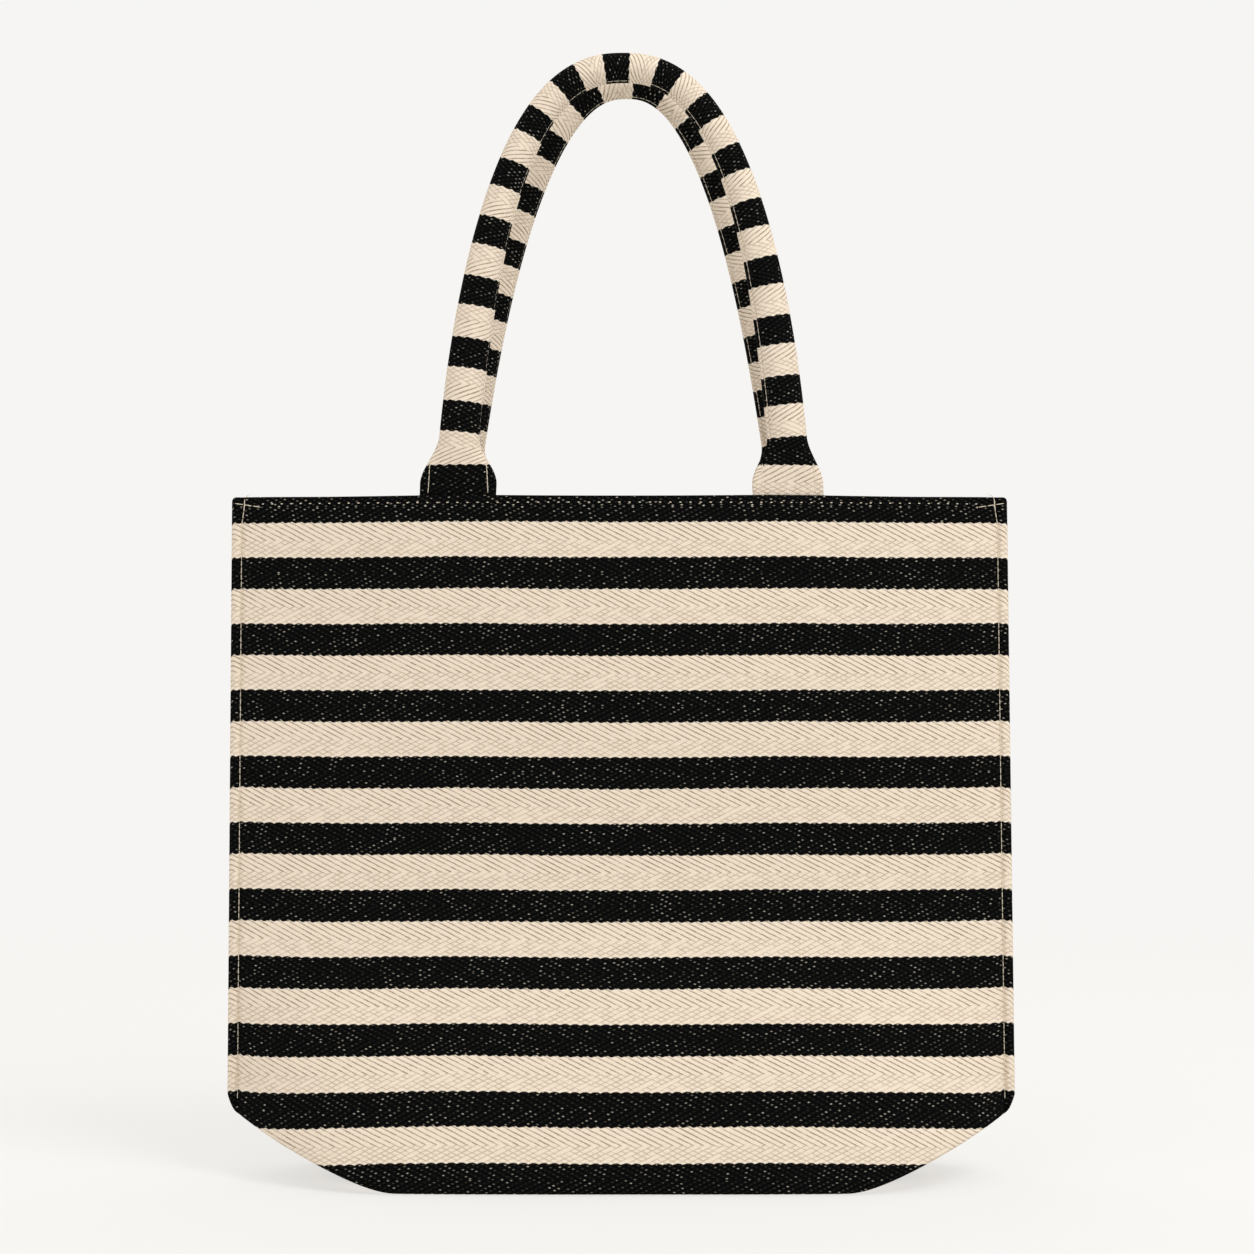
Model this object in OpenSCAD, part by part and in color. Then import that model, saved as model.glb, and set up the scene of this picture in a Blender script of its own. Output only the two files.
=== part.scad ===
// Striped canvas tote bag: two cloth panels joined by folded side seams and
// boxed bottom corners, a faced top hem, and two rolled handles with a cord inside.
// Millimetres. +Z is up, the front faces -Y, and the origin is on the floor
// under the middle of the base.

/* [Body] */
// Width over the two side seams, low on the bag
body_w = 422; // [320:1:520]
// Height of the rim above the floor
rim_h = 362; // [300:1:460]
// Depth of the base, front edge to back edge
base_d = 104; // [70:1:130]
// Depth of the open mouth at its middle
mouth_d = 60; // [50:1:90]
// Depth of the bag half way up
waist_d = 46; // [40:1:80]
// Length of the base that lies flat on the floor
base_flat = 238; // [160:1:260]
// Slope of the raised base corners, rise over run
corner_slope = 0.46; // [0.3:0.01:0.6]
// Total narrowing of the body between the floor and the rim
taper_w = 7.6; // [0:0.1:12]
// How far the lower end of a side seam curves up at its outer edge
fin_lift = 8; // [2:0.5:14]

/* [Cloth and seams] */
// Thickness of the canvas
cloth_t = 1.8; // [1.2:0.1:2.4]
// Distance of the side stitching from the seam's outer edge
seam_inset = 6; // [4:0.5:10]
// Total thickness of a folded side seam
seam_t = 6.4; // [5.6:0.1:8]
// Bend radius where the wall turns into the base
bend_r = 6; // [3:0.5:9]
// Height of the facing inside the rim
facing_h = 32; // [24:1:50]
// Thickness of the facing
facing_t = 1.6; // [1:0.1:2.4]
// Distance of the rim stitching below the rim
rim_stitch = 3.5; // [2.5:0.5:6]
// Width of the sewing thread
thread_w = 0.8; // [0.5:0.1:1.2]
// Height of the bound seam allowances that stand up inside the base
binding_h = 8; // [5:1:12]
// Thickness of a bound seam allowance
binding_t = 3; // [2:0.5:5]

/* [Handles] */
// Distance between the middles of a handle's two feet
foot_span = 174; // [140:1:210]
// Height of the middle of the tube above the rim at the crest
crest_h = 225.6; // [160:1:300]
// Width of a foot where it enters the hem
foot_w = 40; // [30:1:50]
// Thickness of a flattened foot
foot_t = 2.8; // [2.4:0.1:4]
// Height over which a foot rounds up into the tube
flare_h = 32; // [24:1:50]
// Half the tube's width across a leg, seen from the front
leg_r = 10.5; // [8:0.1:12]
// How far the legs stand outside the feet
leg_out = 1.8; // [0:0.1:4]
// Half the tube's width at the crest, where the bend flattens it
crest_r = 7.8; // [6:0.1:10]
// Half the tube's depth, front to back
tube_r = 8.8; // [7:0.1:10]
// Thickness of the cloth cover round the cord
cover_t = 1.6; // [1:0.1:2]
// Share by which the back handle's arch is drawn in towards the crest
back_pinch = 0.23; // [0:0.01:0.25]
// Depth of each foot inside the hem
end_depth = 24; // [16:1:28]

/* [Fits] */
// Clearance between layers that lie on each other
lay_gap = 0.3; // [0.25:0.05:0.5]
// Clearance between a handle's foot and its sewn-in end
fold_gap = 1.6; // [1.3:0.1:2.2]

/* [Hidden] */
half_w = body_w / 2;
wall_w = half_w - seam_inset;
seam_r = seam_t / 2;
edge_gap = 0.8;
lens_power = 2.2;
boat_power = 6;
flare_z = 150;
corner_round = 18;
panel_cols = 11;
panel_rows = 10;
bend_steps = 3;
base_rows = 2;
cream = [0.89, 0.82, 0.74];
black = [0.09, 0.09, 0.09];
tape = [0.80, 0.75, 0.66];

// The arch of a handle is part of a rounded, slightly square-shouldered oval whose
// middle lies well under the rim.
arch_drop = 0.585 * crest_h;
shoulder = 0.84;
crown = 1.137;
swell = 0.16;
arch_b = crest_h + arch_drop;
foot_phi = phi_at(fold_gap);
foot_rise = pow(sin(foot_phi), 2);
arch_a = (foot_span / 2 + leg_out) / (pow(cos(foot_phi), shoulder) * (1 + swell * foot_rise));
flare_rings = 7;
arch_rings = 13;
cover_sides = 12;
core_sides = 10;
foot_x = foot_span / 2;
end_in = 0.6;

// ---- shape of the body -------------------------------------------------------

function smooth(a, b, x) = let (t = min(1, max(0, (x - a) / (b - a)))) t * t * (3 - 2 * t);
function mix(a, b, t) = a + (b - a) * t;

// Height of the underside: flat in the middle, rising towards both corners, and
// curving up across the side seams.
function under(x) = let (u = max(0, abs(x) - base_flat / 2), fin = max(0, abs(x) - wall_w))
    corner_slope * (sqrt(u * u + corner_round * corner_round) - corner_round)
    + fin_lift * pow(fin / seam_inset, 2);

// Share of the full depth left at x: a lens in the wall, a boat shape at the base.
function lens(x) = 1 - pow(min(1, abs(x) / wall_w), lens_power);
function boat(x) = 1 - pow(min(1, abs(x) / wall_w), boat_power);

// Half the outer depth of the bag at (x, z).
function half_depth(x, z) =
    let (up = smooth(0, flare_z, z), mouth = smooth(flare_z, rim_h, z))
    seam_r + (1 - up) * (base_d / 2 - seam_r) * boat(x)
    + up * (mix(waist_d, mouth_d, mouth) / 2 - seam_r) * lens(x);

// The body narrows evenly from the floor to the rim.
function tapered(x, z) = x * (1 - taper_w / body_w * z / rim_h);

// Column places, closer together towards the side seams.
wall_cols = [for (i = [-panel_cols : panel_cols]) wall_w * sin(90 * i / panel_cols)];
panel_x = concat([-half_w, -half_w + seam_inset / 2], wall_cols, [half_w - seam_inset / 2, half_w]);

function bend_at(x) = min(bend_r, 0.6 * (half_depth(x, under(x)) - edge_gap / 2));

// One column of the front panel as [y, z] pairs, from the middle of the base,
// round the bend and up to the rim; inset moves it into the cloth.
function panel_profile(x, inset) =
    let (u = under(x), r = bend_at(x), y_wall = half_depth(x, u + r),
        r_in = max(0.1, r - inset), y_c = y_wall - r, z_c = u + r, z_low = z_c - r_in)
    concat(
        [for (k = [0 : base_rows - 1]) [mix(edge_gap / 2, y_c, k / base_rows), z_low]],
        [for (k = [0 : bend_steps]) let (a = 90 * k / bend_steps)
            [y_c + r_in * sin(a), z_c - r_in * cos(a)]],
        [for (z = wall_heights(z_c)) [half_depth(x, z) - inset, z]]);

// Row heights of the wall above the bend, with one row at each edge and at the
// middle of the facing.
function wall_heights(z_c) = concat(
    [for (k = [1 : panel_rows]) mix(z_c, rim_h - facing_h, pow(k / panel_rows, 1.4))],
    [rim_h - facing_h / 2, rim_h]);

function panel_grid(inset) = [for (x = panel_x)
    [for (p = panel_profile(x, inset)) [tapered(x, p[1]), -p[0], p[1]]]];

// ---- general solids ----------------------------------------------------------

// Closed solid between two grids of points with the same rows and columns.
module between_grids(outer, inner) {
    n = len(outer);
    m = len(outer[0]);
    function o(i, j) = i * m + j;
    function q(i, j) = n * m + i * m + j;
    points = concat([for (row = outer) for (p = row) p], [for (row = inner) for (p = row) p]);
    faces = concat(
        [for (i = [0 : n - 2]) for (j = [0 : m - 2]) each
            [[o(i, j), o(i, j + 1), o(i + 1, j + 1)], [o(i, j), o(i + 1, j + 1), o(i + 1, j)]]],
        [for (i = [0 : n - 2]) for (j = [0 : m - 2]) each
            [[q(i, j), q(i + 1, j + 1), q(i, j + 1)], [q(i, j), q(i + 1, j), q(i + 1, j + 1)]]],
        [for (i = [0 : n - 2]) each
            [[o(i, 0), o(i + 1, 0), q(i + 1, 0)], [o(i, 0), q(i + 1, 0), q(i, 0)],
             [o(i + 1, m - 1), o(i, m - 1), q(i, m - 1)], [o(i + 1, m - 1), q(i, m - 1), q(i + 1, m - 1)]]],
        [for (j = [0 : m - 2]) each
            [[o(0, j + 1), o(0, j), q(0, j)], [o(0, j + 1), q(0, j), q(0, j + 1)],
             [o(n - 1, j), o(n - 1, j + 1), q(n - 1, j + 1)], [o(n - 1, j), q(n - 1, j + 1), q(n - 1, j)]]]);
    polyhedron(points, faces, convexity = 8);
}

// Solid bar through a list of rings, each a closed loop of points.
module through_rings(rings) {
    n = len(rings);
    m = len(rings[0]);
    function at(i, j) = i * m + j % m;
    polyhedron([for (r = rings) for (p = r) p], concat(
        [[for (j = [0 : m - 1]) at(0, j)]],
        [[for (j = [m - 1 : -1 : 0]) at(n - 1, j)]],
        [for (i = [0 : n - 2]) for (j = [0 : m - 1]) each
            [[at(i, j), at(i + 1, j), at(i + 1, j + 1)], [at(i, j), at(i + 1, j + 1), at(i, j + 1)]]]),
        convexity = 6);
}

// Pipe between two lists of rings, open at both ends.
module pipe_through(outer, inner) {
    n = len(outer);
    m = len(outer[0]);
    function o(i, j) = i * m + j % m;
    function q(i, j) = n * m + i * m + j % m;
    polyhedron(concat([for (r = outer) for (p = r) p], [for (r = inner) for (p = r) p]), concat(
        [for (i = [0 : n - 2]) for (j = [0 : m - 1]) each
            [[o(i, j), o(i + 1, j), o(i + 1, j + 1)], [o(i, j), o(i + 1, j + 1), o(i, j + 1)]]],
        [for (i = [0 : n - 2]) for (j = [0 : m - 1]) each
            [[q(i, j), q(i + 1, j + 1), q(i + 1, j)], [q(i, j), q(i, j + 1), q(i + 1, j + 1)]]],
        [for (j = [0 : m - 1]) each
            [[o(0, j), o(0, j + 1), q(0, j + 1)], [o(0, j), q(0, j + 1), q(0, j)],
             [o(n - 1, j + 1), o(n - 1, j), q(n - 1, j)], [o(n - 1, j + 1), q(n - 1, j), q(n - 1, j + 1)]]]),
        convexity = 8);
}

// Thread of square section along points that run upwards or to +X on a face
// that looks along Y.
module thread(points) {
    n = len(points);
    r = thread_w / 2;
    through_rings([for (i = [0 : n - 1])
        let (d = points[min(n - 1, i + 1)] - points[max(0, i - 1)], l = norm([d[0], d[2]]),
            s = [d[2], 0, -d[0]] * r / l, p = points[i])
        [p - s + [0, -r, 0], p - s + [0, r, 0], p + s + [0, r, 0], p + s + [0, -r, 0]]]);
}

module on_both_sides() {
    children();
    mirror([1, 0, 0]) children();
}

module to_back() {
    mirror([0, 1, 0]) children();
}

// ---- cloth of the body -------------------------------------------------------

// Front wall and the front half of the base, one piece of striped cloth.
module panel() {
    color(cream) between_grids(panel_grid(0), panel_grid(cloth_t));
}

module front_panel() {
    panel();
}

module back_panel() {
    to_back() panel();
}

// Raw edges shut inside the folded side seam.
module seam_allowance() {
    y = seam_r - cloth_t - lay_gap;
    x0 = wall_w + lay_gap;
    x1 = half_w - 2 * lay_gap;
    z0 = under(half_w) + 2 * bend_r;
    z1 = rim_h - 2;
    color(cream) through_rings([for (z = [z0, z1])
        [for (p = [[x0, -y], [x0, y], [x1, y], [x1, -y]]) [tapered(p[0], z), p[1], z]]]);
}

module right_seam_allowance() {
    seam_allowance();
}

module left_seam_allowance() {
    mirror([1, 0, 0]) seam_allowance();
}

// ---- faced hem ---------------------------------------------------------------

hem_cols = let (h = foot_w / 2) concat([0, foot_x * 0.32],
    [foot_x - h - 7, foot_x - h - 4, foot_x - h - 1, foot_x - h / 2, foot_x,
     foot_x + h / 2, foot_x + h + 1, foot_x + h + 4, foot_x + h + 7],
    [for (k = [1 : 3]) mix(foot_x + foot_w / 2 + 7, wall_w - 3 * seam_r, k / 3)]);
hem_x = concat([for (i = [len(hem_cols) - 1 : -1 : 1]) -hem_cols[i]], hem_cols);

// The facing stands off the wall by the thickness of the foot that lies behind it.
function facing_gap(x) = lay_gap + (foot_t + lay_gap)
    * (1 - smooth(foot_w / 2 + 1, foot_w / 2 + 7, abs(abs(x) - foot_x)));
function facing_y(x, z) = half_depth(x, z) - cloth_t - facing_gap(x);

module hem_facing() {
    zs = [rim_h - facing_h, rim_h - facing_h / 2, rim_h - lay_gap];
    color(cream) between_grids(
        [for (x = hem_x) [for (z = zs) [tapered(x, z), -facing_y(x, z), z]]],
        [for (x = hem_x) [for (z = zs) [tapered(x, z), -facing_y(x, z) + facing_t, z]]]);
}

module front_hem_facing() {
    hem_facing();
}

module back_hem_facing() {
    to_back() hem_facing();
}

// Flat ends of a handle, sewn in between the wall and the facing.
module handle_end() {
    w = foot_w / 2 - end_in;
    xs = [for (k = [-1, -0.5, 0, 0.5, 1]) foot_x + k * w];
    zs = [rim_h - end_depth, rim_h - end_depth / 2, rim_h - lay_gap];
    y = cloth_t + lay_gap;
    color(cream) between_grids(
        [for (x = xs) [for (z = zs) [tapered(x, z), -half_depth(x, z) + y, z]]],
        [for (x = xs) [for (z = zs) [tapered(x, z), -half_depth(x, z) + y + foot_t, z]]]);
}

module front_handle_ends() {
    on_both_sides() handle_end();
}

module back_handle_ends() {
    to_back() on_both_sides() handle_end();
}

// ---- bound seams inside the base --------------------------------------------

binding_x = [for (x = wall_cols) if (under(x) < base_d / 7) x];

// Seam between the two panels along the middle of the base.
module base_seam_binding() {
    b = binding_t / 2;
    color(tape) through_rings([for (x = binding_x) let (z = under(x) + cloth_t + lay_gap)
        [[x, -b, z], [x, -b, z + binding_h], [x, b, z + binding_h], [x, b, z]]]);
}

// Seam across a boxed corner, standing on the raised base.
module corner_binding() {
    x0 = binding_x[len(binding_x) - 1] + lay_gap * 2;
    x1 = x0 + binding_t;
    y = half_depth(x1, under(x1)) * 0.72;
    z = max(under(x1), under(x0)) + cloth_t + 3 * lay_gap;
    color(tape) translate([x0, -y, z]) cube([binding_t, 2 * y, binding_h]);
}

module right_corner_binding() {
    corner_binding();
}

module left_corner_binding() {
    mirror([1, 0, 0]) corner_binding();
}

// ---- stitching of the body ---------------------------------------------------

thread_off = thread_w / 2 + lay_gap;

// Line of stitches down each face of a side seam.
module side_stitching() {
    zs = [under(wall_w) + bend_r, flare_z, rim_h - 1];
    color(cream) for (face = [-1, 1])
        thread([for (z = zs) [tapered(wall_w + thread_w / 2, z), face * (seam_r + thread_off), z]]);
}

module right_side_stitching() {
    side_stitching();
}

module left_side_stitching() {
    mirror([1, 0, 0]) side_stitching();
}

// Line through wall and facing at a height below the rim: one row outside, one inside.
module hem_row(below) {
    z = rim_h - below;
    color(cream) {
        thread([for (i = [1 : len(wall_cols) - 2]) let (x = wall_cols[i])
            [tapered(x, z), -half_depth(x, z) - thread_off, z]]);
        thread([for (x = hem_x) [tapered(x, z), -facing_y(x, z) + facing_t + thread_off, z]]);
    }
}

module front_rim_stitching() {
    hem_row(rim_stitch);
}

module back_rim_stitching() {
    to_back() hem_row(rim_stitch);
}

module front_hem_stitching() {
    hem_row(facing_h - rim_stitch);
}

module back_hem_stitching() {
    to_back() hem_row(facing_h - rim_stitch);
}

// Rows that fix a sewn-in end to the facing, seen only from inside the bag.
module tack_rows() {
    w = foot_w / 2 - 3;
    for (z = [rim_h - end_depth + 3, rim_h - end_depth / 2, rim_h - rim_stitch - 3])
        thread([for (x = [foot_x - w, foot_x, foot_x + w])
            [tapered(x, z), -facing_y(x, z) + facing_t + thread_off, z]]);
}

module front_tack_stitching() {
    color(cream) on_both_sides() tack_rows();
}

module back_tack_stitching() {
    color(cream) to_back() on_both_sides() tack_rows();
}

// ---- handles -----------------------------------------------------------------

handle_y = half_depth(foot_x, rim_h) - cloth_t - lay_gap - foot_t / 2;
flare_phi = phi_at(flare_h);

// Angle at which the arch stands h above the rim, and the height at an angle.
function phi_at(h) = asin(pow((h + arch_drop) / arch_b, 1 / crown));
function above(phi) = arch_b * pow(sin(phi), crown) - arch_drop;

// Share of a foot's shape that is left at an angle.
function foot_part(phi) = 1 - smooth(0, flare_h, above(phi));

function arch_point(phi, pinch) = let (c = cos(phi), rise = pow(sin(phi), 2),
        x = arch_a * pow(abs(c), shoulder) * (1 + swell * rise) * (1 - pinch * (rise - foot_rise)))
    [sign(c) * (x - leg_out * foot_part(phi)), -handle_y, rim_h + above(phi)];

// Direction out of the arch, turned level where the foot meets the hem.
function arch_out(phi, pinch) = let (
        d = arch_point(phi + 0.5, pinch) - arch_point(phi - 0.5, pinch),
        out = [d[2], 0, -d[0] * (1 - foot_part(phi))])
    out / norm(out);

// Half width and half depth of the tube.
function half_across(phi) = mix(leg_r, crest_r, smooth(flare_h, crest_h, above(phi)))
    + (foot_w / 2 - leg_r) * foot_part(phi);
function half_thick(phi) = mix(foot_t / 2, tube_r, smooth(-4, flare_h + 8, above(phi)));

// How fast the wall comes forward under a foot; the flat foot is turned to match.
foot_turn = (half_depth(foot_x - 1, rim_h) - half_depth(foot_x + 1, rim_h)) / 2;

function ring(phi, pinch, inset, sides) =
    let (c = arch_point(phi, pinch), n = arch_out(phi, pinch),
        a = half_across(phi) - inset, b = max(0.2, half_thick(phi) - inset),
        turn = foot_turn * foot_part(phi))
    [for (k = [0 : sides - 1]) let (t = -360 * k / sides, u = a * cos(t))
        c + n * u + [0, b * sin(t) + turn * u, 0]];

cover_phi = let (low = concat(
        [for (k = [0 : flare_rings - 1]) mix(foot_phi, flare_phi, k / flare_rings)],
        [for (k = [0 : arch_rings - 1]) mix(flare_phi, 90, k / arch_rings)]))
    concat(low, [90], [for (i = [len(low) - 1 : -1 : 0]) 180 - low[i]]);
cord_phi = [for (phi = cover_phi) if (above(phi) > flare_h * 0.75) phi];

// Striped cloth tube with flattened, flared feet.
module handle_cover(pinch) {
    color(black) pipe_through(
        [for (phi = cover_phi) ring(phi, pinch, 0, cover_sides)],
        [for (phi = cover_phi) ring(phi, pinch, cover_t, cover_sides)]);
}

// Cotton cord that keeps the tube round.
module handle_cord(pinch) {
    color(tape) through_rings([for (phi = cord_phi)
        ring(phi, pinch, cover_t + 2 * lay_gap, core_sides)]);
}

// Stitches along the closing seam on the inside of the arch.
module handle_seam(pinch) {
    color(cream) thread([for (phi = cord_phi)
        arch_point(phi, pinch) - arch_out(phi, pinch) * (half_across(phi) + thread_off)]);
}

// Two rows on each face of a foot, close to its edges.
module foot_rows(pinch) {
    phis = [for (k = [1 : 5]) mix(foot_phi, flare_phi, k / 8)];
    color(cream) on_both_sides() for (side = [-1, 1], face = [-1, 1])
        thread([for (phi = phis) let (
                a = half_across(phi), u = side * (a - 3.4),
                turn = foot_turn * foot_part(phi),
                w = half_thick(phi) * sqrt(1 - pow(u / a, 2)) + thread_off + 0.2)
            arch_point(phi, pinch) + arch_out(phi, pinch) * u + [0, face * w + turn * u, 0]]);
}

module front_handle_cover() {
    handle_cover(0);
}

module back_handle_cover() {
    to_back() handle_cover(back_pinch);
}

module front_handle_cord() {
    handle_cord(0);
}

module back_handle_cord() {
    to_back() handle_cord(back_pinch);
}

module front_handle_seam_stitching() {
    handle_seam(0);
}

module back_handle_seam_stitching() {
    to_back() handle_seam(back_pinch);
}

module front_foot_stitching() {
    foot_rows(0);
}

module back_foot_stitching() {
    to_back() foot_rows(back_pinch);
}

front_panel();
back_panel();
left_seam_allowance();
right_seam_allowance();
front_hem_facing();
back_hem_facing();
base_seam_binding();
left_corner_binding();
right_corner_binding();
left_side_stitching();
right_side_stitching();
front_rim_stitching();
back_rim_stitching();
front_hem_stitching();
back_hem_stitching();
front_handle_ends();
back_handle_ends();
front_tack_stitching();
back_tack_stitching();
front_handle_cover();
back_handle_cover();
front_handle_cord();
back_handle_cord();
front_handle_seam_stitching();
back_handle_seam_stitching();
front_foot_stitching();
back_foot_stitching();
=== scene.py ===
import math

import bpy
import numpy as np
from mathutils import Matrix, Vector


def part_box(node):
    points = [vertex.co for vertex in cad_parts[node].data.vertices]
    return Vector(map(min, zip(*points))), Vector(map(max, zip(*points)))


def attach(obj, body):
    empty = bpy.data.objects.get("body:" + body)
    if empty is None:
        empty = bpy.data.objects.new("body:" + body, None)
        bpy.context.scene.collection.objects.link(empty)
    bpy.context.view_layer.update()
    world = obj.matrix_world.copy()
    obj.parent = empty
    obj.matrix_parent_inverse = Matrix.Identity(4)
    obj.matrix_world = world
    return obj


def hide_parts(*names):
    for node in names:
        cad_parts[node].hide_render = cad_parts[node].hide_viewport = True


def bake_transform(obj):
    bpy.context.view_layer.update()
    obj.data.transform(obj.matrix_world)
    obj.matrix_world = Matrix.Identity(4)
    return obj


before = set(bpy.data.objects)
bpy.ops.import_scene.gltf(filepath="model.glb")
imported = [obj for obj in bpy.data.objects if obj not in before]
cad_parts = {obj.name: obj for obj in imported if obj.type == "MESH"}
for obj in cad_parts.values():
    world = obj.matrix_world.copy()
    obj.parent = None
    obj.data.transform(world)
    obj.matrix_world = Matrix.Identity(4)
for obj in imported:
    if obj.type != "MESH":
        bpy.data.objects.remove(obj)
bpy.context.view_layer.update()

# ---- sizes, in millimetres ---------------------------------------------------

MM = 0.001
panel_low, panel_high = (np.array(corner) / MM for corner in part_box("front_panel"))
cover_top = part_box("front_handle_cover")[1][2] / MM

rim = panel_high[2]
half_base = -panel_low[1]
waist_depth = 46.0
mouth_depth = 60.0
waist_z = 150.0
base_half_w = 116.5
corner_rise = 0.448
corner_bend = 16.5
seam_x = 205.0
taper = 7.6 / 422
fin_w = 6.0
seam_half = 3.2
cloth_t = 1.8
facing_h = 32.0
facing_t = 1.6
lay_gap = 0.3

foot_x = 87.0
foot_half = 20.0
foot_t = 2.8
flare_h = 32.0
end_depth = 24.0
leg_half = 10.5
crest_half = 7.8
tube_half = 8.8
cover_t = 1.6
crest_h = cover_top - crest_half - rim
arch_drop = 0.585 * crest_h
arch_b = crest_h + arch_drop
arch_power = 1.137
turn_share = 0.84
leg_out = 1.8

stripe_pitch = 35.13
half_pitch = stripe_pitch / 2
half_black = 8.45
half_cream = half_pitch - half_black
first_black = 32.6
rib_pitch = 2.66

# What differs between the two handles, by side. lean and foot_x place the feet; tuck draws the feet
# in, pinch draws in the arch, spread widens its legs and sway shifts its crest. feet holds the half
# widths of the left and right foot. first, pitch, draw and ease place the stripes along the line of
# the tube that even picks: 1 for the outside of the arch, -1 for the inside.
handles = {
    -1: {
        "name": "front", "lean": 1.4, "foot_x": 86.7, "feet": (20.3, 18.8),
        "tuck": leg_out, "pinch": 0.0, "spread": 0.0, "sway": 0.0,
        "first": -0.4, "pitch": 35.2, "draw": 0.413, "ease": 0.0141, "even": 1.0,
    },
    1: {
        "name": "back", "lean": 1.3, "foot_x": 88.6, "feet": (18.6, 18.6),
        "tuck": 0.0, "pinch": 0.234, "spread": 0.012, "sway": 1.7,
        "first": 7.3, "pitch": 29.9, "draw": 0.0, "ease": 0.0, "even": -1.0,
    },
}


def smooth(low, high, x):
    """Soft step: 0 before low, 1 after high, and t * t * (3 - 2 * t) between them."""
    t = np.clip((x - low) / (high - low), 0, 1)
    return t * t * (3 - 2 * t)


def mix(a, b, t):
    """Straight blend of a and b."""
    return a + (b - a) * t


def hill(x, middle, width):
    """Bell curve of height 1 round the middle."""
    return np.exp(-(((x - middle) / width) ** 2))


# ---- meshes from arrays ------------------------------------------------------


def cells(rows, columns, start=0):
    """Corner numbers of every cell of a grid of points, four to a cell."""
    i, j = np.meshgrid(np.arange(rows - 1), np.arange(columns - 1), indexing="ij")
    a = start + i * columns + j
    return np.stack([a, a + 1, a + columns + 1, a + columns], -1).reshape(-1, 4)


def turned_out(points, faces, cloth):
    """A closed surface with its faces outwards: all are turned round if its volume is negative."""
    p = points[faces]
    volume = np.einsum("ij,ij->", p[:, 0], np.cross(p[:, 1], p[:, 2]) + np.cross(p[:, 2], p[:, 3]))
    if volume < 0:
        faces, cloth = faces[:, ::-1], cloth[:, ::-1]
    return points, faces, cloth


def shell(outer, inner, cloth):
    """Closed sheet between two grids of the same size; cloth holds the place on the cloth of each point."""
    rows, columns = outer.shape[:2]
    half = rows * columns
    points = np.concatenate([outer.reshape(-1, 3), inner.reshape(-1, 3)])
    number = np.arange(half).reshape(rows, columns)

    def strip(edge):
        """Faces that close the gap between the two grids along an edge."""
        return np.stack([edge[:-1], edge[1:], edge[1:] + half, edge[:-1] + half], -1)

    face = cells(rows, columns)
    faces = np.concatenate([
        face, face[:, ::-1] + half,
        strip(number[:, 0]), strip(number[:, -1])[:, ::-1],
        strip(number[0])[:, ::-1], strip(number[-1])])
    places = np.concatenate([cloth.reshape(-1, 3)] * 2)
    return turned_out(points, faces, places[faces])


def tubes(rings, places):
    """Closed bars through rings of points: rings is bars x rings x sides, places has one more side."""
    bars, count, sides = rings.shape[:3]
    per_bar = count * sides
    grid = np.arange(count)[:, None] * sides + np.arange(sides + 1)[None, :] % sides
    wide = cells(count, sides + 1)
    around = grid.reshape(-1)[wide]
    k = np.arange(sides // 2 - 1)
    cap = np.stack([k, k + 1, sides - 2 - k, sides - 1 - k], -1)
    faces = np.concatenate([around, cap[:, ::-1], cap + (count - 1) * sides])
    wide_cap = np.concatenate([cap[:, ::-1], cap + (count - 1) * (sides + 1)])
    wide = np.concatenate([wide, wide_cap])
    start = np.arange(bars)[:, None, None]
    all_faces = (faces[None] + start * per_bar).reshape(-1, 4)
    flat_places = places.reshape(bars, -1, 3)
    cloth = flat_places[:, wide].reshape(-1, 4, 3)
    return turned_out(rings.reshape(-1, 3), all_faces, cloth)


def pipe(outer, inner, places):
    """Hollow bar: an outer and an inner surface through rings, joined at both ends."""
    count, sides = outer.shape[:2]
    half = count * sides
    grid = (np.arange(count)[:, None] * sides + np.arange(sides + 1)[None, :] % sides).reshape(-1)
    wide = cells(count, sides + 1)
    face = grid[wide]
    k = np.arange(sides)
    ends, wide_ends = [], []
    for row, way in ((0, 1), (count - 1, -1)):
        a, b = row * sides + k, row * sides + (k + 1) % sides
        wa, wb = row * (sides + 1) + k, row * (sides + 1) + k + 1
        ends.append(np.stack([a, b, b + half, a + half], -1)[:, ::-way])
        wide_ends.append(np.stack([wa, wb, wb, wa], -1)[:, ::-way])
    faces = np.concatenate([face, face[:, ::-1] + half, *ends])
    wide = np.concatenate([wide, wide[:, ::-1], *wide_ends])
    points = np.concatenate([outer.reshape(-1, 3), inner.reshape(-1, 3)])
    return turned_out(points, faces, places.reshape(-1, 3)[wide])


def piece(name, parts, material):
    """One object from closed parts in millimetres, with its cloth places as a corner attribute."""
    points, faces, cloth, start = [], [], [], 0
    for p, f, c in parts:
        points.append(p)
        faces.append(f + start)
        cloth.append(c)
        start += len(p)
    mesh = bpy.data.meshes.new(name)
    mesh.from_pydata((np.concatenate(points) * MM).tolist(), [], np.concatenate(faces).tolist())
    place = mesh.attributes.new("cloth", "FLOAT_VECTOR", "CORNER")
    place.data.foreach_set("vector", np.concatenate(cloth).astype(np.float32).ravel())
    mesh.shade_smooth()
    mesh.materials.append(material)
    made = bpy.data.objects.new(name, mesh)
    bpy.context.scene.collection.objects.link(made)
    return made


def unit(vectors):
    """The vectors at length 1."""
    return vectors / np.linalg.norm(vectors, axis=-1, keepdims=True)


def same(vector, count):
    """One vector for each of a number of points."""
    return np.repeat([vector], count, 0).astype(float)


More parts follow.
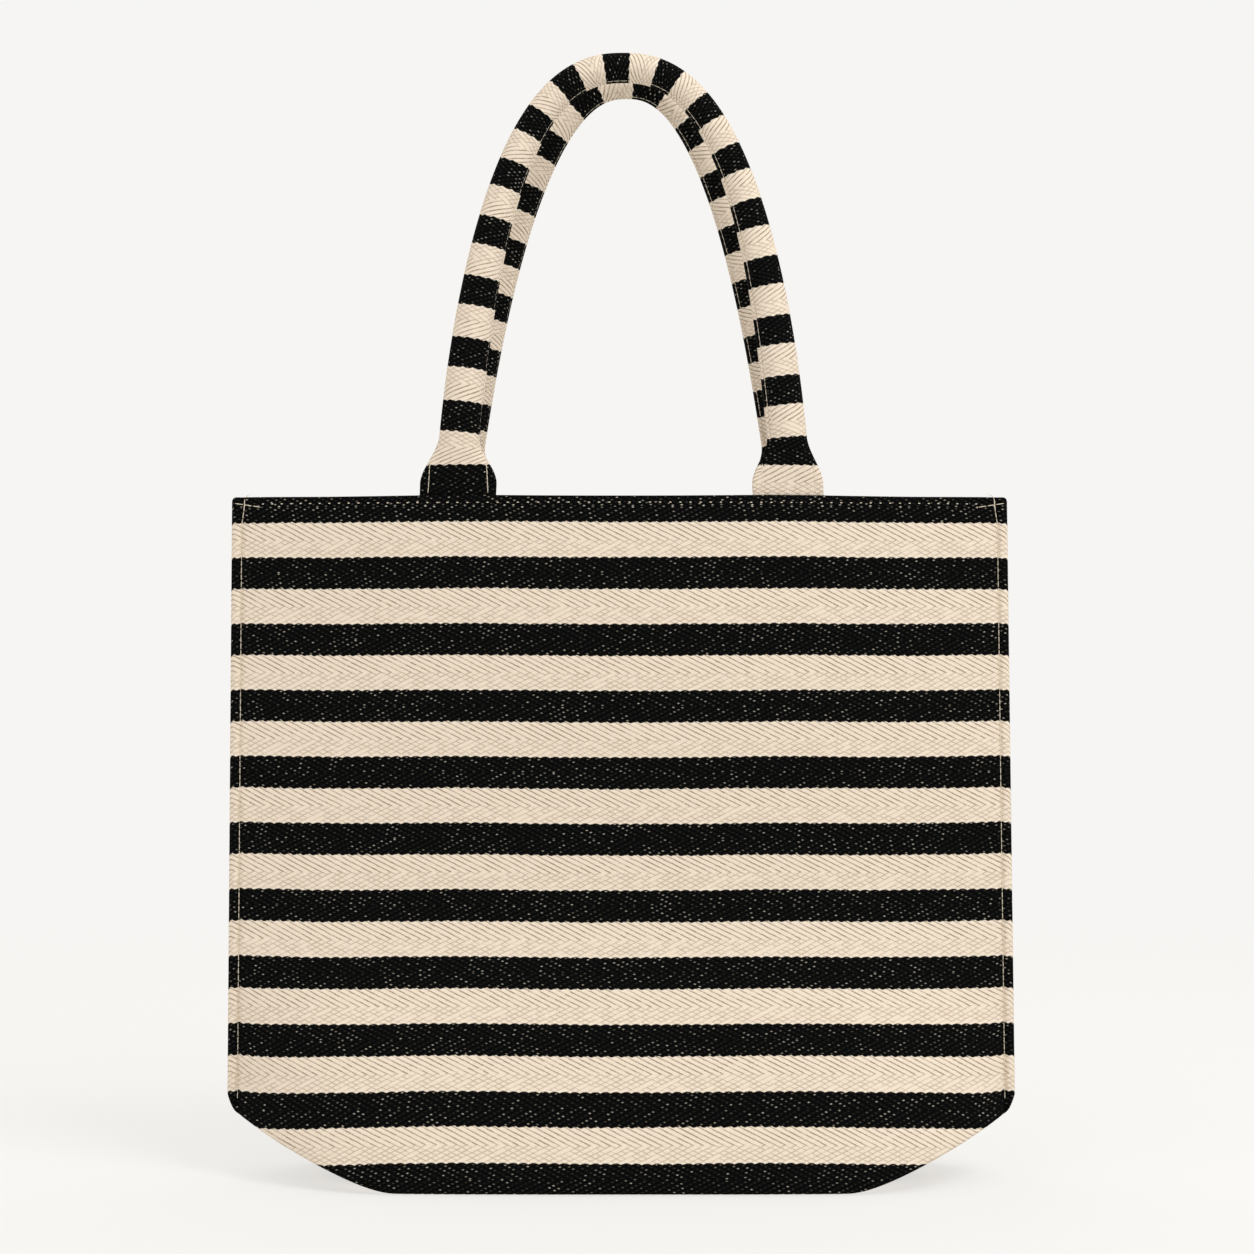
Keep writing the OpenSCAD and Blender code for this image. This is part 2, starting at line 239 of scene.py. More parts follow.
def stitches(path, out, pitch, length, width, lift=0.3, sides=6):
    """A row of stitches along a path. Each is a short round thread; its middle is lifted off the
    cloth by a parabola, lift * (1 - t * t), so that both its ends dive in."""
    gone = np.concatenate([[0], np.cumsum(np.linalg.norm(np.diff(path, axis=0), axis=1))])
    count = max(1, int(round(gone[-1] / pitch)))
    middle = (np.arange(count) + 0.5) * gone[-1] / count
    t = np.linspace(-1, 1, 5)
    s = np.clip(middle[:, None] + t * length / 2, 0, gone[-1])
    spot = np.stack([np.interp(s, gone, path[:, k]) for k in range(3)], -1)
    up = unit(np.stack([np.interp(s, gone, out[:, k]) for k in range(3)], -1))
    along = unit(np.gradient(spot, axis=1))
    across = unit(np.cross(along, up))
    spot = spot + up * (lift * (1 - t**2) - 0.35 * lift)[:, None]
    angle = np.linspace(0, 2 * math.pi, sides + 1)
    r = (width / 2 * (1 - 0.4 * t**4))[None, :, None, None]
    ring = across[:, :, None] * np.cos(angle)[:, None] + up[:, :, None] * np.sin(angle)[:, None]
    rings = spot[:, :, None] + ring * r
    places = np.zeros(rings.shape)
    places[..., 0] = angle
    places[..., 1] = s[:, :, None]
    places[..., 2] = middle[:, None, None]
    return tubes(rings[:, :, :-1], places)


def bar(path, side, up, half_side, half_up, power=2.0, sides=16):
    """Bar along a path whose section is a rounded oblong, |a|**power + |b|**power = 1."""
    angle = np.linspace(0, 2 * math.pi, sides + 1)
    a = np.sign(np.cos(angle)) * np.abs(np.cos(angle)) ** (2 / power)
    b = np.sign(np.sin(angle)) * np.abs(np.sin(angle)) ** (2 / power)
    rings = (path[:, None] + (half_side * a)[..., None] * side[:, None]
             + (half_up * b)[..., None] * up[:, None])
    gone = np.concatenate([[0], np.cumsum(np.linalg.norm(np.diff(path, axis=0), axis=1))])
    places = np.zeros(rings.shape)
    places[..., 0] = angle
    places[..., 1] = gone[:, None]
    return tubes(rings[None, :, :-1], places[None])


# ---- shape of the body -------------------------------------------------------


def underside(x):
    """Height of the underside: flat in the middle, rising to both corners, curling up at the seams."""
    past = np.maximum(0, np.abs(x) - base_half_w)
    fin = np.maximum(0, np.abs(x) - seam_x)
    rise = corner_rise * (np.sqrt(past**2 + corner_bend**2) - corner_bend)
    return rise + 8 * (fin / fin_w) ** 2


def half_depth(x, z):
    """Half the depth at (x, z): a boat shape at the base that turns into a lens in the wall."""
    share = np.minimum(1, np.abs(x) / seam_x)
    up = smooth(0, waist_z, z)
    wall = mix(waist_depth, mouth_depth, smooth(waist_z, rim, z)) / 2 - seam_half
    return (seam_half + (1 - up) * (half_base - seam_half) * (1 - share**6)
            + up * wall * (1 - share**2.2))


def tapered(x, z):
    """The body narrows evenly from the floor to the rim, and leans half a millimetre to the left."""
    return x * (1 - taper * z / rim) + 0.5 * (1 - 2 * z / rim)


def soft_waves(x, z, side):
    """Slack of the cloth: three slow sine waves that die out at the hem, the seams and the base."""
    calm = smooth(4, 60, z) * (1 - smooth(rim - 70, rim - 34, z)) * (1 - smooth(150, 200, np.abs(x)))
    wave = (0.5 * np.sin(x / 47 + z / 160 + side) + 0.35 * np.sin(x / 23 - z / 75 + 2 * side)
            + 0.3 * np.sin(z / 41 + x / 120))
    return calm * wave


def seam_pull(x, z):
    """Small puckers that run inwards from the side stitching and die out over 25 mm."""
    near = np.exp(-np.maximum(0, seam_x - np.abs(x)) / 11) * (np.abs(x) < seam_x)
    return 0.22 * near * (np.sin(z / 3.1) + 0.7 * np.sin(z / 5.3 + x / 9))


def outer_y(x, z, side):
    """Distance of the outer face from the middle plane: the body with the stitched groove beside each
    side seam, a slight sag over the floor, and the seam's fin closing in a round edge."""
    fin = np.clip((np.abs(x) - seam_x) / fin_w, 0, 1)
    groove = 1.25 * hill(np.abs(x), seam_x + 0.4, 1.1)
    sag = 2.8 * hill(z, 4, 18) * (1 - np.minimum(1, np.abs(x) / seam_x) ** 4)
    body = half_depth(x, z) - groove + soft_waves(x, z, side) + seam_pull(x, z) + sag
    return body * np.sqrt(1 - 0.965 * fin**3.4)


def rim_line(x):
    """Height of the rim: lifted a little over the feet, with small round corners."""
    corner = np.clip((np.abs(x) - seam_x - fin_w + 2.6) / 2.6, 0, 1)
    lift = 0.5 * hill(np.abs(x), foot_x, 42)
    return rim + lift + 0.3 * smooth(150, 200, np.abs(x)) - 2.2 * (1 - np.sqrt(1 - 0.98 * corner**2))


def panel_cloth(side):
    """One panel of striped cloth with its half of the base. Each column of the grid runs from the
    middle of the base, round the bend and up the wall, and rolls over at the rim. The place on the
    cloth is measured down from the rim; the stripes dip a little towards the lower corners."""
    half = np.concatenate([
        np.linspace(0, 197, 73), seam_x + np.array([
            -6.4, -4.9, -3.6, -2.5, -1.6, -0.9, -0.3, 0.2, 0.7, 1.2, 1.8, 2.5, 3.3, 4, 4.6, 5.1,
            5.5, 5.8, 6])])
    x = np.concatenate([-half[:0:-1], half])[:, None]
    low = underside(x)
    bend = np.clip(0.6 * (outer_y(x, low + 3, side) - 0.05), 0.04, 2.2)
    y_wall = outer_y(x, low + bend, side)
    y_mid = y_wall - bend
    t = np.linspace(0, 1, 15)[None, :-1]
    turn = np.radians(np.linspace(0, 90, 9))[None, :]
    up = np.linspace(0, 1, 112)[None, 1:]
    roll = np.radians(np.array([18, 38, 58, 78]))[None, :]
    r = cloth_t / 2
    top = rim_line(x) - r
    z_wall = mix(low + bend, top, up)
    y_top = outer_y(x, top, side)

    def grid(inset):
        """Points of the face at a depth below the outer face."""
        r_in = np.maximum(0.02, bend - inset)
        wall = np.maximum(0.12, outer_y(x, z_wall, side) - inset)
        edge = y_top - r + (r - inset) * np.cos(roll)
        y = np.concatenate([
            mix(0.05, y_mid, t), y_mid + r_in * np.sin(turn), wall, np.maximum(0.1, edge)], 1)
        z = np.concatenate([
            low + bend - r_in + 0 * t, low + bend - r_in * np.cos(turn), z_wall,
            top + r * np.sin(roll)], 1)
        fin = np.maximum(0, np.abs(x) - seam_x)
        x_in = np.sign(x) * (np.abs(x) - fin * 0.23 * (inset > 0))
        return np.stack([tapered(x_in + 0 * z, z), side * y, z], -1)

    outer = grid(0)
    steps = np.linalg.norm(np.diff(outer, axis=1), axis=2)
    up_length = np.concatenate([np.zeros((len(x), 1)), np.cumsum(steps, 1)], 1)
    v = up_length[:, -1:] - up_length
    v = v - 3.3 * (np.minimum(1, np.abs(x) / seam_x)) ** 2 * np.clip(v / 314, 0, 1.1) ** 3
    v = v - 1.4 * smooth(312, 335, v)
    place = np.stack([-side * x + 0 * v, v, 0 * v], -1)
    return shell(outer, grid(cloth_t), place)


def facing_depth(x, z, side):
    """Distance of the facing's outer face from the middle plane: it stands off the wall at the feet."""
    look = handles[side]
    across = np.abs(np.abs(tapered(x, z) - look["lean"]) - look["foot_x"])
    over_foot = 1 - smooth(foot_half + 0.8, foot_half + 7, across)
    return half_depth(x, z) - cloth_t - lay_gap - (foot_t + lay_gap) * over_foot


def hem_facing(side):
    """Band of plain cloth inside the rim, with a folded, rounded edge above and below."""
    x = np.linspace(-194.4, 194.4, 181)[:, None]
    low, high, r = rim - facing_h, rim - lay_gap, facing_t / 2
    roll = np.radians(np.array([75, 50, 25, 0]))
    z = np.concatenate([low + r - r * np.sin(roll), np.linspace(low + r, high - r, 12)[1:-1],
                        high - r + r * np.sin(roll[::-1])])[None, :]
    part = np.concatenate([np.cos(roll), np.ones(10), np.cos(roll[::-1])])[None, :]
    middle = facing_depth(x, z, side) - r
    waves = 0.12 * np.sin(x / 3.4 + z / 9) * (1 - smooth(rim - 12, rim - 2, z))

    def grid(way):
        """Points of the face on one side of the band's middle."""
        y = middle + way * r * part + np.minimum(0, -waves * (way < 0))
        return np.stack([tapered(x + 0 * z, z), side * y, z + 0 * x], -1)

    place = np.stack([x + 0 * z, z + 0 * x, 0 * x * z], -1)
    return shell(grid(1), grid(-1), place)


# ---- shape of the handles ----------------------------------------------------


def phi_at(h):
    """Angle of the arch at a height above the rim."""
    share = (np.maximum(h, 0) + arch_drop) / arch_b
    return np.arcsin(np.minimum(1, share ** (1 / arch_power)))


foot_rise = math.sin(float(phi_at(1.6))) ** 2
arch_a = (foot_x + leg_out) / ((1 - foot_rise) ** 0.42 * (1 + 0.16 * foot_rise))


def foot_part(h):
    """Share of the foot's shape at a height above the rim."""
    return 1 - smooth(0, flare_h, h)


def foot_spread(h):
    """Share of the foot's width: it stays wide for a third of the flare, then draws in quickly."""
    return 1 - smooth(0.2, 0.97, h / flare_h)


def handle_line(t, look):
    """Middle of the tube at t, from -1 (end sewn in at the left) through 0 (crest) to 1. The arch is
    x = a * cos(phi)**0.84 * (1 + 0.16 * sin(phi)**2), z = b * sin(phi)**1.137, drawn in towards the
    crest on the back handle; gives x and the height above the rim."""
    share = np.clip(np.abs(t), 0, 1)
    low_h = mix(flare_h, -end_depth, (share - turn_share) / (1 - turn_share))
    top = float(phi_at(flare_h))
    phi = np.where(share < turn_share, math.pi / 2 - (math.pi / 2 - top) * share / turn_share,
                   phi_at(low_h))
    h = np.where(share < turn_share, arch_b * np.sin(phi) ** arch_power - arch_drop, low_h)
    rise = np.sin(phi) ** 2
    arch = arch_a * np.maximum(np.cos(phi), 0) ** 0.84 * (1 + 0.16 * rise)
    arch = arch * (1 + look["spread"] * (1 - rise))
    x = arch * (1 - look["pinch"] * (rise - foot_rise)) - look["tuck"] * foot_part(h)
    x = np.where(h < 0, mix(x, look["foot_x"], 0.5), x)
    sway = look["sway"] * np.maximum(0, (rise - foot_rise) / (1 - foot_rise)) ** 2
    return np.sign(t) * x + look["lean"] + sway, h


def handle_frame(t, look):
    """Middle, outward direction in the plane of the arch, and height above the rim. The outward
    direction is turned level where the foot meets the hem."""
    x, h = handle_line(t, look)
    x0, h0 = handle_line(t - 0.002, look)
    x1, h1 = handle_line(t + 0.002, look)
    nx, nz = -(h1 - h0), (x1 - x0) * (1 - foot_part(h))
    length = np.hypot(nx, nz)
    return x, h, nx / length, nz / length


def handle_widths(t, h, look):
    """Half width across and half depth of the section, and the power that squares it off."""
    foot = foot_part(h)
    wide = np.where(t < 0, look["feet"][0], look["feet"][1])
    across = mix(leg_half, crest_half, smooth(flare_h, crest_h, h)) + (wide - leg_half) * foot_spread(h)
    deep = mix(foot_t / 2, tube_half, smooth(-4, flare_h + 8, h))
    return across, deep, mix(2.0, 4.0, foot**1.5)


def foot_row_out(across, h, wide):
    """Distance of a foot's stitching from its middle: straight up the foot, inside its edge."""
    return np.minimum(across - 2.2, wide - 4.4 - 0.06 * h)


def handle_point(t, angle, side, inset=0.0, seam=0.0):
    """Point of the handle's surface. The section is a circle that flattens and widens towards the
    foot, |a|**n + |b|**n = 1 with n from 2 up to 4; the flat foot lies along the wall behind it."""
    look = handles[side]
    x, h, nx, nz = handle_frame(t, look)
    foot = foot_part(h)
    across, deep, n = handle_widths(t, h, look)
    across = across - 0.6 * (h < 0) * smooth(0, 3, -h)
    c, s = np.cos(angle), np.sin(angle)
    a = (across - inset) * np.sign(c) * np.abs(c) ** (2 / n) + seam * c
    b = np.maximum(0.25, deep - inset) * np.sign(s) * np.abs(s) ** (2 / n) + seam * s
    wide = np.where(t < 0, look["feet"][0], look["feet"][1])
    row = foot_row_out(across, h, wide)
    groove = 0.5 * smooth(22, 12, h) * hill(np.abs(a), row, 1.1) * (h > 1) * (inset == 0)
    b = b - np.sign(s) * groove * smooth(0, 0.5, np.abs(s))
    px = x + nx * a
    z = rim + h + nz * a
    wall = half_depth(px / (1 - taper), np.minimum(z, rim)) - cloth_t - lay_gap - foot_t / 2
    depth = mix(handle_y, wall, foot)
    return np.stack([px, side * (depth + b), z], -1)


handle_y = float(half_depth(foot_x, rim)) - cloth_t - lay_gap - foot_t / 2


def seam_angle(t, side):
    """Where the closing seam runs round the tube: on the inside, turning slowly to the front."""
    turn = 0.12 + 0.3 * smooth(-0.1, 0.35, t) - 0.2 * smooth(0, 0.8, -t)
    return math.pi + side * turn


def stripe_count(gone, look):
    """Number of stripes from the left foot to a length along the handle. The cloth is stretched over
    the left foot and drawn tighter over the crest: length = pitch * k - draw * k**2 + ease * k**3."""
    k = np.linspace(-3, 22, 500)
    return np.interp(gone, look["pitch"] * k - look["draw"] * k**2 + look["ease"] * k**3, k)


def handle_cloth(side):
    """Tube of striped cloth with flat feet, hollow for the cord. Its place on the cloth runs with the
    length of one line along the tube, the outermost on the front handle and the innermost on the back
    one. A ridge and a groove along the inside show the closing seam."""
    look = handles[side]
    low = np.linspace(1, turn_share, 40)
    half = np.concatenate([low, np.linspace(turn_share, 0, 84)[1:]])
    t = np.concatenate([-half, half[-2::-1]])[:, None]
    fine = np.array([-0.34, -0.24, -0.17, -0.11, -0.055, 0, 0.055, 0.11, 0.17, 0.24, 0.34])
    sweep = np.concatenate([fine, np.linspace(0.34, 2 * math.pi - 0.34, 54)[1:-1]])[None, :]
    angle = seam_angle(t, side) + sweep
    foot = foot_part(handle_line(t, look)[1])
    ridge = (0.45 * hill(sweep, -side * 0.05, 0.08) - 0.5 * hill(sweep, side * 0.11, 0.06)) * (1 - foot)
    outer = handle_point(t, angle, side, 0.0, ridge)
    inner = handle_point(t, angle, side, cover_t)
    x, h, nx, nz = handle_frame(t[:, 0], look)
    across = look["even"] * mix(leg_half, crest_half, smooth(flare_h, crest_h, h))
    edge = np.stack([x + nx * across, h + nz * across], -1)
    gone = np.concatenate([[0], np.cumsum(np.linalg.norm(np.diff(edge, axis=0), axis=1))])
    gone = gone - np.interp(0, h[:40], gone[:40])
    v = first_black + stripe_count(gone - look["first"], look) * stripe_pitch
    ring = np.concatenate([outer, outer[:, :1]], 1)
    u = np.concatenate([np.zeros((len(t), 1)),
                        np.cumsum(np.linalg.norm(np.diff(ring, axis=1), axis=2), 1)], 1)
    u = u - u[:, -1:] / 2
    place = np.stack([u, v[:, None] + 0 * u, 0 * u + 1], -1)
    return pipe(outer, inner, place)


def handle_rope(side):
    """Three-strand cord inside the tube: each strand circles the middle line once every 46 mm."""
    strand_turn = 46
    t = np.concatenate([-np.linspace(0.845, 0, 70), np.linspace(0, 0.845, 70)[1:]])
    x, h, nx, nz = handle_frame(t, handles[side])
    spot = np.stack([x, 0 * x + side * handle_y, rim + h], -1)
    gone = np.concatenate([[0], np.cumsum(np.linalg.norm(np.diff(spot, axis=0), axis=1))])
    out = np.stack([nx, 0 * nx, nz], -1)
    deep = np.array([0.0, 1.0, 0.0])
    parts = []
    for strand in range(3):
        a = 2 * math.pi * (gone / strand_turn + strand / 3)
        path = spot + out * (2.9 * np.cos(a))[:, None] + deep * (3.3 * np.sin(a))[:, None]
        parts.append(bar(path, out, deep + 0 * out, 2.7, 3.0, sides=12))
    return parts


# ---- finishes ----------------------------------------------------------------


class Wire:
    """One socket of a finish. Sums, products and the like on it add Math nodes."""

    def __init__(self, finish, socket):
        self.finish = finish
        self.socket = socket

    def math(self, operation, *values):
        inputs = dict(enumerate(values))
        return self.finish.node("ShaderNodeMath", {"operation": operation}, inputs)

    def __add__(self, other):
        return self.math("ADD", self, other)

    __radd__ = __add__

    def __mul__(self, other):
        return self.math("MULTIPLY", self, other)

    __rmul__ = __mul__

    def __sub__(self, other):
        return self.math("SUBTRACT", self, other)

    def __rsub__(self, other):
        return self.math("SUBTRACT", other, self)

    def __truediv__(self, other):
        return self.math("DIVIDE", self, other)

    def __pow__(self, other):
        return self.math("POWER", self, other)

    def __gt__(self, other):
        return self.math("GREATER_THAN", self, other)

    def __abs__(self):
        return self.math("ABSOLUTE", self)

    def sin(self):
        return self.math("SINE", self)

    def floor(self):
        return self.math("FLOOR", self)

    def part(self):
        """What is left over from the last whole step."""
        return self.math("FRACT", self)

    def between(self, low, high, start=0.0, end=1.0):
        """Soft step from low to high."""
        return self.finish.node(
            "ShaderNodeMapRange", {"interpolation_type": "SMOOTHSTEP"},
            {"Value": self, "From Min": low, "From Max": high, "To Min": start, "To Max": end})

    def from_middle(self):
        """0 at the middle of each whole step and 1 at its ends."""
        return abs(self.part() - 0.5) * 2


class Finish:
    """A material under construction; node() adds a node and gives back one of its sockets."""

    def __init__(self, name):
        self.material = bpy.data.materials.new(name)
        self.material.use_nodes = True
        self.tree = self.material.node_tree
        self.tree.nodes.clear()

    def node(self, kind, settings, inputs, output=0):
        made = self.tree.nodes.new(kind)
        for key, value in settings.items():
            setattr(made, key, value)
        for key, value in inputs.items():
            if isinstance(value, Wire):
                self.tree.links.new(value.socket, made.inputs[key])
            else:
                made.inputs[key].default_value = value
        return Wire(self, made.outputs[output])

    def place(self):
        """The place on the cloth as a vector, and its parts across and along the cloth."""
        vector = self.node("ShaderNodeAttribute", {"attribute_name": "cloth"}, {}, "Vector")
        return vector, *(self.node("ShaderNodeSeparateXYZ", {}, {0: vector}, k) for k in range(2))

    def noise(self, vector, scale, detail=2.0):
        """Soft noise round 0.5, with scale patches to a millimetre."""
        return self.node("ShaderNodeTexNoise", {}, {"Vector": vector, "Scale": scale, "Detail": detail})

    def chance(self, a, b, c):
        """A fixed random number for each cell a, b, c."""
        cell = self.node("ShaderNodeCombineXYZ", {}, {0: a, 1: b, 2: c})
        return self.node("ShaderNodeTexWhiteNoise", {"noise_dimensions": "3D"}, {"Vector": cell})

    def blend(self, share, a, b):
        """Colour between a and b."""
        return self.node("ShaderNodeMix", {"data_type": "RGBA"}, {0: share, 6: a, 7: b}, 2)

    def done(self, colour, roughness, height, relief):
        """Cloth surface: a rough body with a raised pattern."""
        normal = self.node("ShaderNodeBump", {}, {
            "Strength": 1.0, "Distance": relief, "Height": height})
        self.close(self.node("ShaderNodeBsdfPrincipled", {}, {
            "Base Color": colour, "Roughness": roughness, "Specular IOR Level": 0.015,
            "Normal": normal}))
        return self.material

    def close(self, body):
        """Joins the surface to the output."""
        out = self.tree.nodes.new("ShaderNodeOutputMaterial")
        self.tree.links.new(body.socket, out.inputs["Surface"])


def colour(red, green, blue):
    """Linear colour from the 0 to 255 values of a swatch."""
    c = np.array([red, green, blue]) / 255
    linear = np.where(c < 0.04045, c / 12.92, ((c + 0.055) / 1.055) ** 2.4)
    return (*linear.tolist(), 1.0)


# The lightest cream below is a painted highlight for the rib tops, the darkest a painted shade for the
# grooves; the middle one is the cloth's own tone.
cream_highlight = colour(241, 228, 209)
cream_mid = colour(227, 210, 190)
cream_groove_shade = colour(175, 154, 132)
black_deep = colour(7, 8, 8)
black_rib = colour(17, 17, 16)
fleck_light = colour(214, 206, 190)


def striped_canvas():
    """Herringbone cloth with woven stripes. In each stripe the ribs fall to the right in the upper half
    and to the left in the lower half, so they turn at its middle; the edges of the black stripes swell
    and dip once for every second rib."""
    f = Finish("striped_canvas")
    place, u, v = f.place()
    wander = f.noise(place, 0.035) - 0.5
    fibre = f.noise(place, 1.1, 3.0)
    fray = (fibre - 0.5) * 0.5

    row = (v - first_black + half_cream + wander * 0.9) / stripe_pitch
    past_middle = row.part() * stripe_pitch - half_pitch
    from_middle = abs(past_middle)
    from_cream = half_pitch - from_middle
    lower = past_middle.between(-0.3, 0.3)
    half = row.floor() * 2 + (past_middle > 0)

    swell = u * (math.pi / (2 * rib_pitch))
    even = abs(swell.sin())
    skew = abs((swell + (swell * 2).sin() * 0.35 + 1.2).sin())
    lobe = even + (skew - even) * lower
    border = lobe * 0.75 + fray + (half_black - 0.5)
    black = (from_middle - border).between(0.22, -0.22)

    def ribs(away):
        """Counts of the ribs that slant one way and the other, at a distance from a middle."""
        return (away + u / 2) / rib_pitch, (u / 2 - away) / rib_pitch

    rib, cross = ribs(from_cream)
    broken = f.chance(rib.floor(), cross.floor(), half)
    depth = broken * (0.4 + lower * 0.45) + lower * 0.2 + 0.42
    # Painted shade: the grooves between the ribs, and short dashes across them, are darkened towards a
    # shade colour.
    groove = (rib.from_middle() + fray).between(0.58, 0.95) * depth
    dash = (cross.from_middle() + fray).between(0.5, 0.98) * (1 - lower) * (broken > 0.4)
    shade = groove * 0.85 + dash * (1 - groove) * 0.6
    # Painted highlight: the rib tops between the grooves are lifted towards a paler cream, with noise
    # varying the amount, and a pale line is painted along the edge of each black stripe.
    painted_highlight = (1 - shade) * (f.noise(place, 0.5) * 0.9 - 0.02)
    painted_highlight = painted_highlight + (from_middle - half_black).between(1.6, 0.4) * 0.3
    cream = f.blend(painted_highlight, f.blend(shade, cream_mid, cream_groove_shade), cream_highlight)

    rib, cross = ribs(from_middle)
    cross = cross * 1.25
    luck = f.chance(rib.floor(), cross.floor(), half)
    fleck = rib.from_middle().between(0.5, 0.05) * cross.from_middle().between(0.5, 0.05)
    hem_row = from_middle.between(1.5, 0.4) * v.between(13, 9) * v.between(-1, 1)
    bright = fleck * (luck**5 * 0.7 + hem_row * luck * 0.5 + 0.02)
    # Painted shade: the black is deepest in the grooves and a little lighter along the middles of the ribs.
    dark = f.blend(rib.from_middle().between(0.9, 0.3) * 0.6, black_deep, black_rib)
    dark = f.blend(bright, dark, fleck_light)

    high = (1 - shade) + fray * 0.7 + from_cream.between(0.7, 0.0) * 0.1
    high_black = rib.from_middle().between(1.0, 0.2) * 0.8 + fleck * 0.3 + fray * 0.7
    height = high + (high_black - high) * black
    return f.done(f.blend(black, cream, dark), 0.92 - black * 0.06, height, 0.00032)


def facing_canvas():
    """Plain cream cloth: fine slanting ribs, 1.4 mm apart, crossed by the warp."""
    rib = 1.4
    f = Finish("facing_canvas")
    place, u, v = f.place()
    fibre = f.noise(place, 1.3, 3.0)
    rib_line = ((u * 0.5 + v) / rib).from_middle()
    warp = (u / (rib * 0.8)).from_middle()
    shade = (rib_line + (fibre - 0.5) * 0.4).between(0.4, 1.0) * 0.7 + warp.between(0.6, 1.0) * 0.3
    return f.done(f.blend(shade, cream_mid, cream_groove_shade), 0.93, 1 - shade + fibre * 0.3, 0.0002)


def cotton_tape():
    """Woven tape: ribs across it and a soft fibre."""
    f = Finish("cotton_tape")
    place, _, v = f.place()
    fibre = f.noise(place, 1.5, 3.0)
    shade = (v / 1.3).from_middle().between(0.3, 1.0) * 0.8 + (fibre - 0.5) * 0.4
    return f.done(f.blend(shade, colour(226, 214, 192), colour(178, 162, 138)), 0.9, 1 - shade, 0.0002)


def cotton_thread():
    """Sewing thread: plies wound round it on a slant."""
    f = Finish("cotton_thread")
    place, u, v = f.place()
    ply = (u / (2 * math.pi) * 2 + v / 0.9).from_middle()
    shade = ply.between(0.3, 1.0) * 0.6 + (f.noise(place, 2.0) - 0.5) * 0.3
    return f.done(f.blend(shade, colour(238, 226, 205), colour(176, 158, 134)), 0.8, 1 - shade, 0.0001)


def cotton_cord():
    """Filler cord: loose yarns along each strand."""
    f = Finish("cotton_cord")
    place, u, v = f.place()
    yarn = (u / (2 * math.pi) * 9 + v / 14).from_middle()
    shade = yarn.between(0.3, 1.0) * 0.6 + (f.noise(place, 0.8) - 0.5) * 0.4
    return f.done(f.blend(shade, colour(235, 228, 212), colour(190, 176, 150)), 0.92, 1 - shade, 0.0003)


striped = striped_canvas()
facing = facing_canvas()
tape = cotton_tape()
thread = cotton_thread()
cord = cotton_cord()

# ---- pieces of the bag -------------------------------------------------------

along_x = (1, 0, 0)
along_y = (0, 1, 0)
along_z = (0, 0, 1)


def seam_edge(side_x, z):
    """Raw edges of both panels, shut inside a side seam: a thin bar up the fin."""
    path = np.stack([tapered(side_x * (seam_x + 2.7) + 0 * z, z), 0 * z, z], -1)
    return bar(path, same(along_x, len(z)), same(along_y, len(z)), 1.5, 0.85, 4.0, 12)


def on_wall(x, z, side, lift=0.0):
    """Points and outward directions on the outer face of a panel."""
    y = outer_y(x, z, side) + lift
    spot = np.stack([tapered(x, z), side * y, z + 0 * x], -1)
    step = 0.3
    du = (outer_y(x + step, z, side) - outer_y(x - step, z, side)) / (2 * step)
    dz = (outer_y(x, z + step, side) - outer_y(x, z - step, side)) / (2 * step)
    return spot, unit(np.stack([-du, side + 0 * du, -dz], -1))


def side_rows(way):
    """Edge stitching of one side seam, on its front and back face, bending in at the rim."""
    z = np.linspace(float(underside(seam_x)) + 8, rim - 4, 220)
    x = way * (seam_x + 0.4 - 1.6 * smooth(rim - 16, rim - 4, z))
    return [stitches(*on_wall(x, z, side, 0.05), 3.7, 3.4, 0.52, 0.12) for side in (-1, 1)]


def corner_knots(way):
    """A slanting row of stitches that locks the seam under the rim, and a short thread tail."""
    parts = []
    for side in (-1, 1):
        x = way * np.linspace(194.5, 209.2, 24)
        z = rim - 5.2 + np.linspace(0, 2.2, 24)
        y = half_depth(x, z) * (1 - 0.35 * smooth(seam_x + 2, seam_x + 6, np.abs(x))) + 0.15
        path = np.stack([tapered(x, z), side * y, z], -1)
        parts.append(stitches(path, same((0, side, 0), 24), 4.9, 4.4, 0.42, 0.12))
    t = np.linspace(0, 1, 12)
    x, z = way * (203.8 - 3.6 * t**3), rim - 5 + 6.8 * np.sin(t * 1.5)
    path = np.stack([tapered(x, z), t * 0.6 - seam_half - 0.4, z], -1)
    parts.append(bar(path, same(along_x, 12), same(along_y, 12), 0.3, 0.3, 2.0, 6))
    return parts


def hem_row(below, side):
    """One row of hem stitches: short and sunk outside, and on the facing inside."""
    z = rim - below
    x = np.linspace(-196, 196, 240)
    wall, out = on_wall(x, z + 0 * x, side, 0.0)
    x_in = np.linspace(-191, 191, 240)
    y = facing_depth(x_in, z, side) - facing_t - 0.12
    inside = np.stack([tapered(x_in, z), side * y, z + 0 * x_in], -1)
    inward = same((0, -side, 0), 240)
    return [stitches(wall, out, 2 * rib_pitch, 1.2, 0.5, 0.06),
            stitches(inside, inward, 5.0, 4.0, 0.7, 0.25)]


def tack_rows(side):
    """Three short rows across each sewn-in handle end, on the inside of the facing."""
    parts = []
    look = handles[side]
    for way in (-1, 1):
        middle = way * look["foot_x"] + look["lean"]
        for z in (rim - 21, rim - 12, rim - 6.5):
            x = (middle + np.linspace(-17, 17, 40)) / (1 - taper)
            y = facing_depth(x, z, side) - facing_t - 0.12
            path = np.stack([tapered(x, z), side * y, z + 0 * x], -1)
            parts.append(stitches(path, same((0, -side, 0), 40), 3.4, 2.9, 0.7, 0.25))
    return parts


